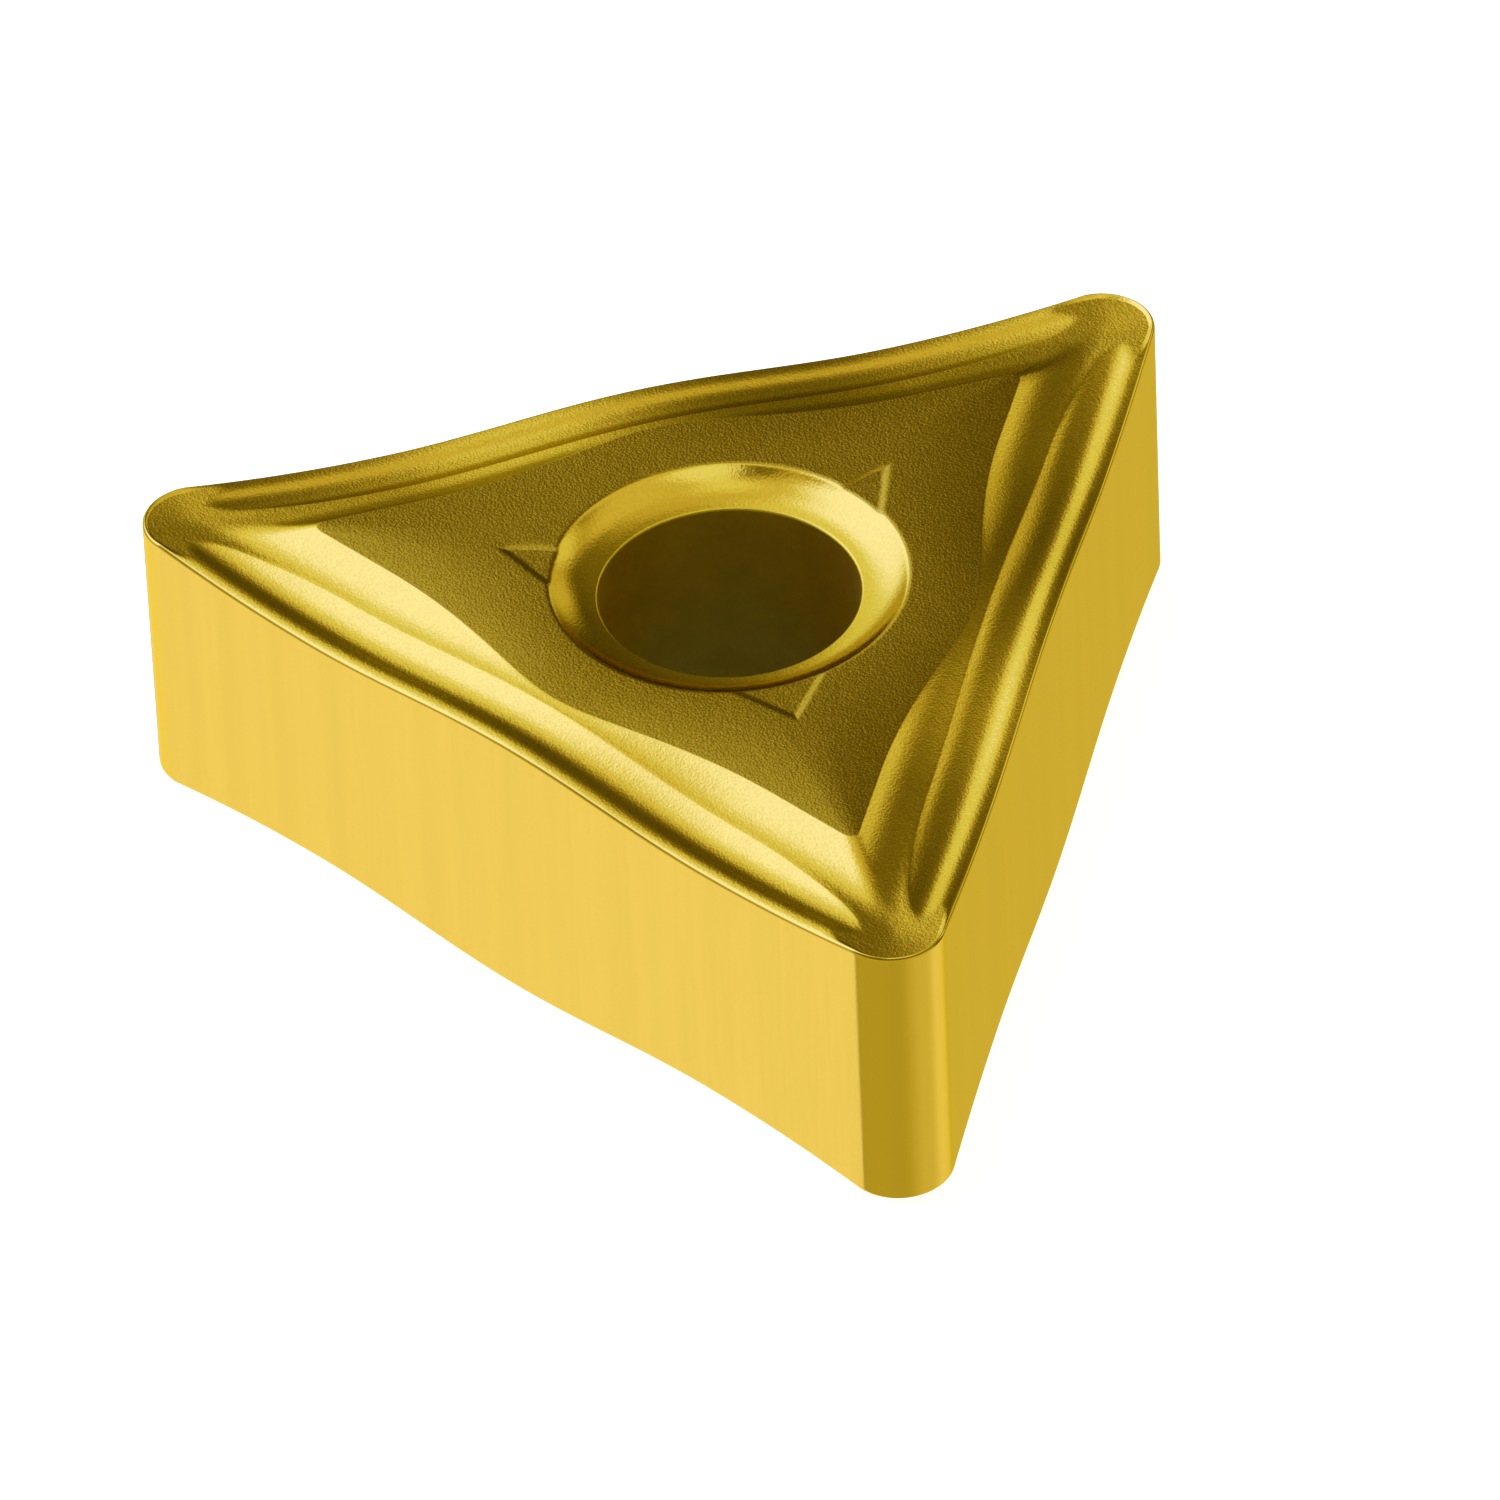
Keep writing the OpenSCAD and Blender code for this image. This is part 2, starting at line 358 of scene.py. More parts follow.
@dataclass(frozen=True)
class Hole:
    """Bore, dish and corner pockets, in millimetres."""

    outline: Outline
    bore_diameter: float = 3.81
    dish_diameter: float = 5.2
    dish_depth: float = 0.296
    dish_radius: float = 1.26
    rim_radius: float = 0.04
    rim_blend: float = 0.035
    pocket_reach: float = 3.44
    pocket_half_angle: float = 38.0
    pocket_depth: float = 0.025
    pocket_sides: tuple[float, float, float] = (1.5, 0.12, 0.12)
    pocket_side_turn: float = 8.0

    @property
    def bore_r(self) -> float:
        """Radius of the bore."""
        return self.bore_diameter / 2.0

    @property
    def dish_r(self) -> float:
        """Radius of the dish at the seat."""
        return self.dish_diameter / 2.0

    @property
    def arm_distance(self) -> float:
        """Distance from the bore axis to the line of a pocket's arm."""
        return self.pocket_reach * math.sin(math.radians(self.pocket_half_angle))

    def dish_z(self, r: np.ndarray) -> np.ndarray:
        """Height of the dish: a circle through the bore's rim and the dish's outer rim.

        Args:
            r: Distances from the bore axis.

        Returns:
            Heights of the dish's surface.
        """
        chord = np.array([self.dish_r - self.bore_r, self.dish_depth])
        length = float(np.hypot(*chord))
        lift = math.sqrt(self.dish_radius**2 - (length / 2.0) ** 2) / length
        centre_r = self.bore_r + chord[0] / 2.0 - lift * chord[1]
        centre_z = self.outline.seat_z - self.dish_depth + chord[1] / 2.0 + lift * chord[0]
        square = np.maximum(LEAST_SQUARE, self.dish_radius**2 - (r - centre_r) ** 2)
        return centre_z - np.sqrt(square)

    def arm_radius(self, turn: np.ndarray, inside: np.ndarray) -> np.ndarray:
        """Radius of lines parallel to a pocket's arm.

        Formula: a line's distance from the axis, over the sine of the arm's half angle plus the
        turn away from the nose.

        Args:
            turn: Turns away from the nose direction, in radians.
            inside: How far the lines lie inside the arm.

        Returns:
            Distances from the bore axis.
        """
        return (self.arm_distance - inside) / np.sin(math.radians(self.pocket_half_angle) + turn)

    def pocket_side(self, turn: np.ndarray, side: int) -> np.ndarray:
        """Width of the pocket's sloping side.

        Formula: towards the nose it is the least of the three sides' widths, and over the first
        degrees away from there it softly becomes the side's own.

        Args:
            turn: Turns away from the nearest nose direction, in radians.
            side: Which side of the insert; the pockets' sides slope more gently at the back.

        Returns:
            Widths.
        """
        least = min(self.pocket_sides)
        own = smooth_step(0.0, math.radians(self.pocket_side_turn), turn)
        return least + (self.pocket_sides[side] - least) * own

    def floor_z(self, r: np.ndarray, turn: np.ndarray, side: int) -> np.ndarray:
        """Height of the seat with its corner pockets.

        Formula: the seat's height, less the pocket's depth times a smooth step of the distance
        inside the arm's line over the width of its sloping side.

        Args:
            r: Distances from the bore axis.
            turn: Turns away from the nearest nose direction, in radians.
            side: Which side of the insert.

        Returns:
            Heights.
        """
        inside = self.arm_distance - r * np.sin(math.radians(self.pocket_half_angle) + turn)
        share = smooth_step(0.0, 1.0, inside / self.pocket_side(turn, side))
        return self.outline.seat_z - self.pocket_depth * share

    def height(self, r: np.ndarray, turn: np.ndarray, side: int) -> np.ndarray:
        """Height of the face around the hole: the soft lower of the floor and the dish."""
        return soft_min(self.floor_z(r, turn, side), self.dish_z(r), self.rim_blend)


@dataclass(frozen=True)
class Grain:
    """Fine relief of a finish: a noise of a given grain size and height."""

    size_mm: float
    height_mm: float
    stretch_z: float = 1.0


@dataclass(frozen=True)
class GoldFinish:
    """A nitride gold coat on carbide, with its grain and its small changes of tone.

    The spans are the parts of a noise's range that are spread over all tones and roughnesses.
    """

    name: str
    tone: tuple[float, float, float]
    dark_tone: tuple[float, float, float]
    roughness: tuple[float, float]
    grain: Grain
    mottle_mm: float
    coarse: Grain | None = None
    speckle: float = 0.0
    edge_tint: tuple[float, float, float] = (1.0, 0.87, 0.38)
    tone_span: tuple[float, float] = (0.38, 0.62)
    gloss_span: tuple[float, float] = (0.3, 0.7)
    fine_detail: float = 2.0
    mottle_detail: float = 3.0
    coarse_detail: float = 1.0

    def noise(self, tree: bpy.types.NodeTree, grain: Grain, detail: float) -> bpy.types.Node:
        """Add a noise of one grain size on Object coordinates.

        Args:
            tree: Node tree of the material.
            grain: Grain to draw.
            detail: Octaves of the noise.

        Returns:
            The noise node.
        """
        place = tree.nodes.new("ShaderNodeTexCoord")
        scale = tree.nodes.new("ShaderNodeMapping")
        across = 1.0 / (grain.size_mm * MM)
        scale.inputs["Scale"].default_value = (across, across, across / grain.stretch_z)
        noise = tree.nodes.new("ShaderNodeTexNoise")
        noise.inputs["Scale"].default_value = 1.0
        noise.inputs["Detail"].default_value = detail
        tree.links.new(place.outputs["Object"], scale.inputs["Vector"])
        tree.links.new(scale.outputs["Vector"], noise.inputs["Vector"])
        return noise

    def relief(self, tree: bpy.types.NodeTree, grain: Grain, height: bpy.types.NodeSocket,
               below: bpy.types.NodeSocket | None) -> bpy.types.NodeSocket:
        """Turn a noise into a bumped normal.

        Args:
            tree: Node tree of the material.
            grain: Grain that gives the height.
            height: Socket of the noise.
            below: Normal that the relief stands on, if there is one.

        Returns:
            Socket of the new normal.
        """
        bump = tree.nodes.new("ShaderNodeBump")
        bump.inputs["Distance"].default_value = grain.height_mm * MM
        tree.links.new(height, bump.inputs["Height"])
        if below is not None:
            tree.links.new(below, bump.inputs["Normal"])
        return bump.outputs["Normal"]

    def spread(self, tree: bpy.types.NodeTree, value: bpy.types.NodeSocket,
               span: tuple[float, float], ends: tuple[float, float]) -> bpy.types.NodeSocket:
        """Spread part of a value's range over another range.

        Args:
            tree: Node tree of the material.
            value: Socket of the value.
            span: Part of its range.
            ends: What the two ends of that part become.

        Returns:
            Socket of the new value.
        """
        node = tree.nodes.new("ShaderNodeMapRange")
        node.inputs["From Min"].default_value, node.inputs["From Max"].default_value = span
        node.inputs["To Min"].default_value, node.inputs["To Max"].default_value = ends
        tree.links.new(value, node.inputs["Value"])
        return node.outputs["Result"]

    def colour(self, tree: bpy.types.NodeTree, fine: bpy.types.Node) -> bpy.types.NodeSocket:
        """Mix the two tones by a broad noise and the fine one.

        Args:
            tree: Node tree of the material.
            fine: Noise of the fine grain.

        Returns:
            Socket of the colour.
        """
        mottle = Grain(self.mottle_mm, 0.0, self.grain.stretch_z)
        broad = self.noise(tree, mottle, self.mottle_detail)
        both = tree.nodes.new("ShaderNodeMix")
        both.inputs["Factor"].default_value = self.speckle
        tree.links.new(broad.outputs["Fac"], both.inputs["A"])
        tree.links.new(fine.outputs["Fac"], both.inputs["B"])
        tone = tree.nodes.new("ShaderNodeMix")
        tone.data_type = "RGBA"
        tone.inputs["A"].default_value = (*self.dark_tone, 1.0)
        tone.inputs["B"].default_value = (*self.tone, 1.0)
        share = self.spread(tree, both.outputs["Result"], self.tone_span, (0.0, 1.0))
        tree.links.new(share, tone.inputs["Factor"])
        return tone.outputs["Result"]

    def material(self) -> bpy.types.Material:
        """Build the finish.

        Returns:
            The material.
        """
        coat = bpy.data.materials.new(self.name)
        coat.use_nodes = True
        tree = coat.node_tree
        shader = tree.nodes["Principled BSDF"]
        shader.inputs["Metallic"].default_value = 1.0
        shader.inputs["Specular Tint"].default_value = (*self.edge_tint, 1.0)
        fine = self.noise(tree, self.grain, self.fine_detail)
        tree.links.new(self.colour(tree, fine), shader.inputs["Base Color"])
        gloss = self.spread(tree, fine.outputs["Fac"], self.gloss_span, self.roughness)
        tree.links.new(gloss, shader.inputs["Roughness"])
        normal = None
        if self.coarse is not None:
            swell = self.noise(tree, self.coarse, self.coarse_detail)
            normal = self.relief(tree, self.coarse, swell.outputs["Fac"], None)
        normal = self.relief(tree, self.grain, fine.outputs["Fac"], normal)
        tree.links.new(normal, shader.inputs["Normal"])
        return coat


@dataclass
class InsertBody:
    """The insert's one closed body, built as rings of columns that run from flank to bore.

    Attributes:
        inner_reach: Distance from the axis to the sides of the triangle where the rays end.
        even_share: How far the columns near the hole are spread evenly round it, as a share.
        crease_support: Share of a ray between a crease and the rings beside it.
        ridge_room: Least room from the ridge to the seat, in crease supports.
        flat_support: Distance of the rings that keep the flank and the bore flat, in mm.
        arm_places: Rings along a pocket's arm, inside its line, in widths of its sloping side.
        arm_clearance: Least distance of those rings from the dish's rim, in mm.
        arm_spacing: Least distance from one of them to the next, in mm.
        rim_places: Rings along the dish's rim, by their distance outside it, in mm.
        rim_slope: Slope of the dish at its rim.
        rim_probe: How far inside the rim the height of the seat beside it is taken, in mm.
        dish_start: How far inside the rim the dish's own rings start, in mm.
        halvings: How often the search for a crossing halves its range.
    """

    outline: Outline
    face: PressedFace
    hole: Hole
    finishes: dict[Zone, GoldFinish]
    flank_columns: int = 92
    nose_columns: int = 24
    hone_rings: int = 5
    groove_rings: int = 17
    wall_rings: int = 10
    dish_rings: int = 9
    bore_rim_rings: int = 4
    inner_reach: float = 2.95
    even_share: float = 0.35
    crease_support: float = 0.009
    ridge_room: float = 3.0
    flat_support: float = 0.012
    arm_places: tuple[float, ...] = (-0.3, 0.0, 0.2, 0.4, 0.6, 0.8, 1.0, 1.2)
    arm_clearance: float = 0.10
    arm_spacing: float = 0.004
    rim_places: tuple[float, ...] = (0.08, 0.05, 0.025, 0.0, -0.025, -0.05, -0.08)
    rim_slope: float = 0.75
    rim_probe: float = 0.02
    dish_start: float = 0.14
    halvings: int = 40

    def places(self) -> np.ndarray:
        """Places of the half side's columns.

        Returns:
            Places along the outline, from the nose's middle to the side's middle.
        """
        flank = np.linspace(0.0, 1.0, self.flank_columns, endpoint=False)
        nose = np.linspace(1.0, 2.0, self.nose_columns + 1)
        return np.concatenate([flank, nose])[::-1]

    def along(self, s: np.ndarray, t: np.ndarray) -> tuple[np.ndarray, np.ndarray]:
        """Points of the columns' rays.

        Formula: a straight line from the outline at t = 0 to a smaller triangle at t = 1.

        Args:
            s: Places of the rays, one for each column.
            t: Shares of the way in, with the columns along their first axis.

        Returns:
            The points' u and e.
        """
        start = self.outline.start(s)
        end_u = np.minimum(s, 1.0) * self.inner_reach * ROOT_3
        end = np.stack([end_u, np.full_like(s, self.inner_reach)], axis=-1)
        shape = (len(s),) + (1,) * (t.ndim - 1)
        u = start[:, 0].reshape(shape) + t * (end[:, 0] - start[:, 0]).reshape(shape)
        e = start[:, 1].reshape(shape) + t * (end[:, 1] - start[:, 1]).reshape(shape)
        return u, e

    def crossing(self, s: np.ndarray, low: np.ndarray,
                 test: Callable[[np.ndarray, np.ndarray], np.ndarray]) -> np.ndarray:
        """Find by halving where a test along every ray turns from true to false.

        Args:
            s: Places of the rays.
            low: Where each search starts.
            test: Function of u and e that is true before the crossing.

        Returns:
            Shares of the way in.
        """
        a, b = low.copy(), np.ones_like(low)
        for _ in range(self.halvings):
            middle = (a + b) / 2.0
            before = test(*self.along(s, middle))
            a, b = np.where(before, middle, a), np.where(before, b, middle)
        return (a + b) / 2.0

    def outer_rings(self, s: np.ndarray) -> np.ndarray:
        """Rings of half a side from the hone to the seat.

        Formula: a ring just below the hone keeps the flank flat, and the hone has its own
        section. The rings after it stand on the face's height function, at even steps between
        the hone, the ridge and the seat, with a ring on each crease and one just past the last.

        Args:
            s: Places of the columns.

        Returns:
            Points as (column, ring, (u, e, z)).
        """
        face, outline = self.face, self.outline
        zero = np.zeros_like(s)
        hone_d, hone_z = face.hone(self.hone_rings)
        hone_t = np.stack([self.crossing(s, zero, lambda u, e, d=d: outline.depth(u, e) < d)
                           for d in hone_d], axis=1)
        bottom = self.crossing(s, zero, lambda u, e: outline.depth(u, e) < face.groove_centre)
        ridge = self.crossing(s, bottom, lambda u, e: face.groove_z(u, e) < face.wall_z(u, e))
        seat = self.crossing(s, bottom, lambda u, e: np.minimum(
            face.groove_z(u, e), face.wall_z(u, e)) < outline.seat_z)
        gap = self.crease_support
        # Where the ridge comes close to the seat, the wall's rings still get room
        ridge = np.minimum(ridge, seat - self.ridge_room * gap)
        groove = even_steps(hone_t[:, -1], ridge - gap, self.groove_rings + 1)[:, 1:]
        wall = even_steps(ridge + gap, seat - gap, self.wall_rings)
        t = np.concatenate([hone_t, groove, ridge[:, None], wall, seat[:, None],
                            seat[:, None] + gap], axis=1)
        u, e = self.along(s, t)
        z = face.height(u, e)
        z[:, :self.hone_rings] = face.edge_z(u[:, :self.hone_rings]) + hone_z
        rings = np.stack([u, e, z], axis=-1)
        below = rings[:, :1] - np.array([0.0, 0.0, self.flat_support])
        return np.concatenate([below, rings], axis=1)

    def inner_rings(self, seat_turn: np.ndarray, side: int) -> np.ndarray:
        """Rings of half a side from the seat to the bore.

        Formula: each ring is a radius for each turn away from the nose. The outer ones follow
        lines parallel to the pocket's arm, the next ones the dish's rim, then the dish's circle,
        and the last ones a quarter circle at the bore's rim.

        Args:
            seat_turn: Turns away from the nose where the columns meet the seat, in radians.
            side: Which side of the insert.

        Returns:
            Points as (column, ring, (u, e, z)).
        """
        hole = self.hole
        even = HALF_SIDE_TURN * np.linspace(0.0, 1.0, len(seat_turn))
        turn = self.even_share * even + (1.0 - self.even_share) * seat_turn
        probe = np.full_like(turn, hole.dish_r - self.rim_probe)
        rim_drop = self.outline.seat_z - hole.floor_z(probe, turn, side)
        rim = hole.dish_r - rim_drop / self.rim_slope
        inside = np.array(self.arm_places) * hole.pocket_side(turn[:, None], side)
        order = np.arange(len(self.arm_places))[::-1]
        keep = rim[:, None] + self.arm_clearance + self.arm_spacing * order
        arm_r = np.maximum(hole.arm_radius(turn[:, None], inside), keep)
        around = rim[:, None] + np.array(self.rim_places)
        dish = even_steps(rim - self.dish_start, np.full_like(rim, hole.bore_r + hole.rim_radius),
                          self.dish_rings)
        r = np.concatenate([arm_r, around, dish], axis=1)
        z = hole.height(r, turn[:, None], side)
        quarter = np.linspace(0.0, np.pi / 2.0, self.bore_rim_rings + 1)[1:]
        rim_r = hole.bore_r + hole.rim_radius * (1.0 - np.sin(quarter))
        rim_z = z[:, -1:] - hole.rim_radius * (1.0 - np.cos(quarter))
        rim_r = np.append(rim_r, hole.bore_r)
        rim_z = np.concatenate([rim_z, rim_z[:, -1:] - self.flat_support], axis=1)
        r = np.concatenate([r, np.broadcast_to(rim_r, rim_z.shape)], axis=1)
        z = np.concatenate([z, rim_z], axis=1)
        away = HALF_SIDE_TURN - turn[:, None]
        return np.stack([r * np.sin(away), r * np.cos(away), z], axis=-1)

    def whole_side(self, side: int) -> np.ndarray:
        """All rings of one side: half of it, and the same mirrored in the side's middle.

        Args:
            side: Which side of the insert.

        Returns:
            Points as (column, ring, (u, e, z)), from one nose to just before the next.
        """
        outer = self.outer_rings(self.places())
        turn = HALF_SIDE_TURN - np.arctan2(outer[:, -1, 0], outer[:, -1, 1])
        half = np.concatenate([outer, self.inner_rings(turn, side)], axis=1)
        return np.concatenate([half, half[-2:0:-1] * np.array([-1.0, 1.0, 1.0])])

    def grid(self) -> np.ndarray:
        """The whole closed surface as (ring, column, xyz) in millimetres.

        Formula: the three sides are turned by 0, 120 and 240 degrees, and the upper half is
        mirrored in the mid-plane with its rings in the opposite order.

        Returns:
            Points of the grid, closed in both directions.
        """
        sides = np.stack([self.whole_side(side) for side in range(3)])
        turns = np.radians([0.0, 120.0, 240.0])[:, None, None]
        x = sides[..., 0] * np.cos(turns) - sides[..., 1] * np.sin(turns)
        y = sides[..., 0] * np.sin(turns) + sides[..., 1] * np.cos(turns)
        upper = np.stack([x, y, sides[..., 2]], axis=-1)
        upper = upper.reshape(-1, sides.shape[2], 3).transpose(1, 0, 2)
        lower = upper[::-1] * np.array([1.0, 1.0, -1.0])
        return np.concatenate([upper, lower])

    def zones(self) -> np.ndarray:
        """Zone of the band that follows each ring.

        Formula: the upper half's bands from the hone to the bore's rim, the bore's wall, the
        same bands back to the lower hone, and the flank.

        Returns:
            The zones' numbers, one for each ring.
        """
        outside = sum(place > 0.0 for place in self.rim_places)
        # A band counts with the ring that ends it. The 2 of the pressed zone are the ridge and the
        # seat's crease, and the 2 of the seat the ring past that crease and the dish's rim.
        bands = {
            Zone.GROUND: self.hone_rings,
            Zone.PRESSED: self.groove_rings + self.wall_rings + 2,
            Zone.SEAT: len(self.arm_places) + outside + 2,
            Zone.DISH: len(self.rim_places) - outside + self.dish_rings,
            Zone.BORE: self.bore_rim_rings,
        }
        upper = np.repeat([zone.value for zone in bands], list(bands.values()))
        return np.concatenate([upper, [Zone.BORE.value], upper[::-1], [Zone.GROUND.value]])

    def build(self) -> bpy.types.Object:
        """Make the mesh.

        Returns:
            The insert's object, at the origin.
        """
        grid = self.grid()
        rings, columns = grid.shape[:2]
        ring, column = np.meshgrid(np.arange(rings), np.arange(columns), indexing="ij")
        next_ring, next_column = (ring + 1) % rings, (column + 1) % columns
        corners = np.stack([ring * columns + column, ring * columns + next_column,
                            next_ring * columns + next_column, next_ring * columns + column],
                           axis=-1)
        mesh = bpy.data.meshes.new("insert_body")
        mesh.vertices.add(rings * columns)
        mesh.vertices.foreach_set("co", (grid * MM).ravel())
        mesh.loops.add(corners.size)
        mesh.loops.foreach_set("vertex_index", corners.ravel())
        mesh.polygons.add(rings * columns)
        loop_starts = np.arange(rings * columns) * corners.shape[-1]
        mesh.polygons.foreach_set("loop_start", loop_starts)
        mesh.polygons.foreach_set("material_index", np.repeat(self.zones(), columns))
        mesh.update(calc_edges=True)
        mesh.shade_smooth()
        body = bpy.data.objects.new("insert_body", mesh)
        bpy.context.collection.objects.link(body)
        log.info("insert_body: %d rings of %d columns", rings, columns)
        return body

    def dress(self, body: bpy.types.Object) -> None:
        """Give each zone its finish, hang the piece on the root body and hide the part it stands
        for.

        Args:
            body: The insert's object.
        """
        for zone in Zone:
            body.data.materials.append(self.finishes[zone].material())
        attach(body, "root")
        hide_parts("insert")


@dataclass(frozen=True)
class Lamp:
    """A soft rectangular light that faces the insert, in degrees and metres."""

    name: str
    azimuth: float
    elevation: float
    width: float
    height: float
    glow: float
    distance: float = 0.06

    def hang(self) -> None:
        """Add the lamp, which the metal doesn't mirror; its power gives it the wanted glow."""
        data = bpy.data.lights.new(self.name, "AREA")
        data.shape = "RECTANGLE"
        data.size, data.size_y = self.width, self.height
        data.energy = self.glow * math.pi * self.width * self.height
        lamp = bpy.data.objects.new(self.name, data)
        lamp.visible_camera = False
        lamp.visible_glossy = False
        bpy.context.collection.objects.link(lamp)
        towards = direction(self.azimuth, self.elevation)
        lamp.location = towards * self.distance
        lamp.rotation_euler = towards.to_track_quat("Z", "Y").to_euler()


@dataclass(frozen=True)
class Camera:
    """A long lens on the insert, from the front left and above."""

    aim_mm: tuple[float, float, float] = (0.0781, -0.4628, -0.5122)
    heading: float = 15.0644
    down: float = 39.7949
    roll: float = -2.5401
    distance_mm: float = 248.163
    lens: float = 411.25
    sensor: float = 36.0
    nearest: float = 0.01
    farthest: float = 20.0

    def place(self) -> None:
        """Add the camera and make it the scene's own."""
        data = bpy.data.cameras.new("camera")
        data.lens = self.lens
        data.sensor_width = self.sensor
        data.clip_start = self.nearest
        data.clip_end = self.farthest
        h, d = math.radians(self.heading), math.radians(self.down)
        ahead = Vector((math.sin(h) * math.cos(d), math.cos(h) * math.cos(d), -math.sin(d)))
        level = ahead.cross(Vector((0.0, 0.0, 1.0))).normalized()
        up = level.cross(ahead)
        r = math.radians(self.roll)
        right = level * math.cos(r) + up * math.sin(r)
        turned = Matrix((right, (-ahead).cross(right), -ahead)).transposed()
        camera = bpy.data.objects.new("camera", data)
        bpy.context.collection.objects.link(camera)
        place = (Vector(self.aim_mm) - ahead * self.distance_mm) * MM
        camera.matrix_world = Matrix.Translation(place) @ turned.to_4x4()
        bpy.context.scene.camera = camera


@dataclass(frozen=True)
class Window:
    """A soft patch of light or shade on the tent, in degrees.

    It has two azimuths, two elevations, its level, and half the width of its soft edge.
    """

    azimuth: tuple[float, float]
    elevation: tuple[float, float]
    level: float
    soft: float

    def share(self, azimuth: np.ndarray, elevation: np.ndarray) -> np.ndarray:
        """How much the patch covers each direction.

        Formula: the product of four smooth steps, one at each side of the patch, with azimuths
        taken as the turn from the patch's middle.

        Args:
            azimuth: Azimuths from +X.
            elevation: Elevations above the horizon.

        Returns:
            Shares from 0 to 1.
        """
        middle = sum(self.azimuth) / 2.0
        reach = (self.azimuth[1] - self.azimuth[0]) / 2.0
        off = np.abs((azimuth - middle + 180.0) % 360.0 - 180.0)
        across = 1.0 - smooth_step(reach - self.soft, reach + self.soft, off)
        above = smooth_step(self.elevation[0] - self.soft, self.elevation[0] + self.soft, elevation)
        below = smooth_step(self.elevation[1] - self.soft, self.elevation[1] + self.soft, elevation)
        return across * above * (1.0 - below)


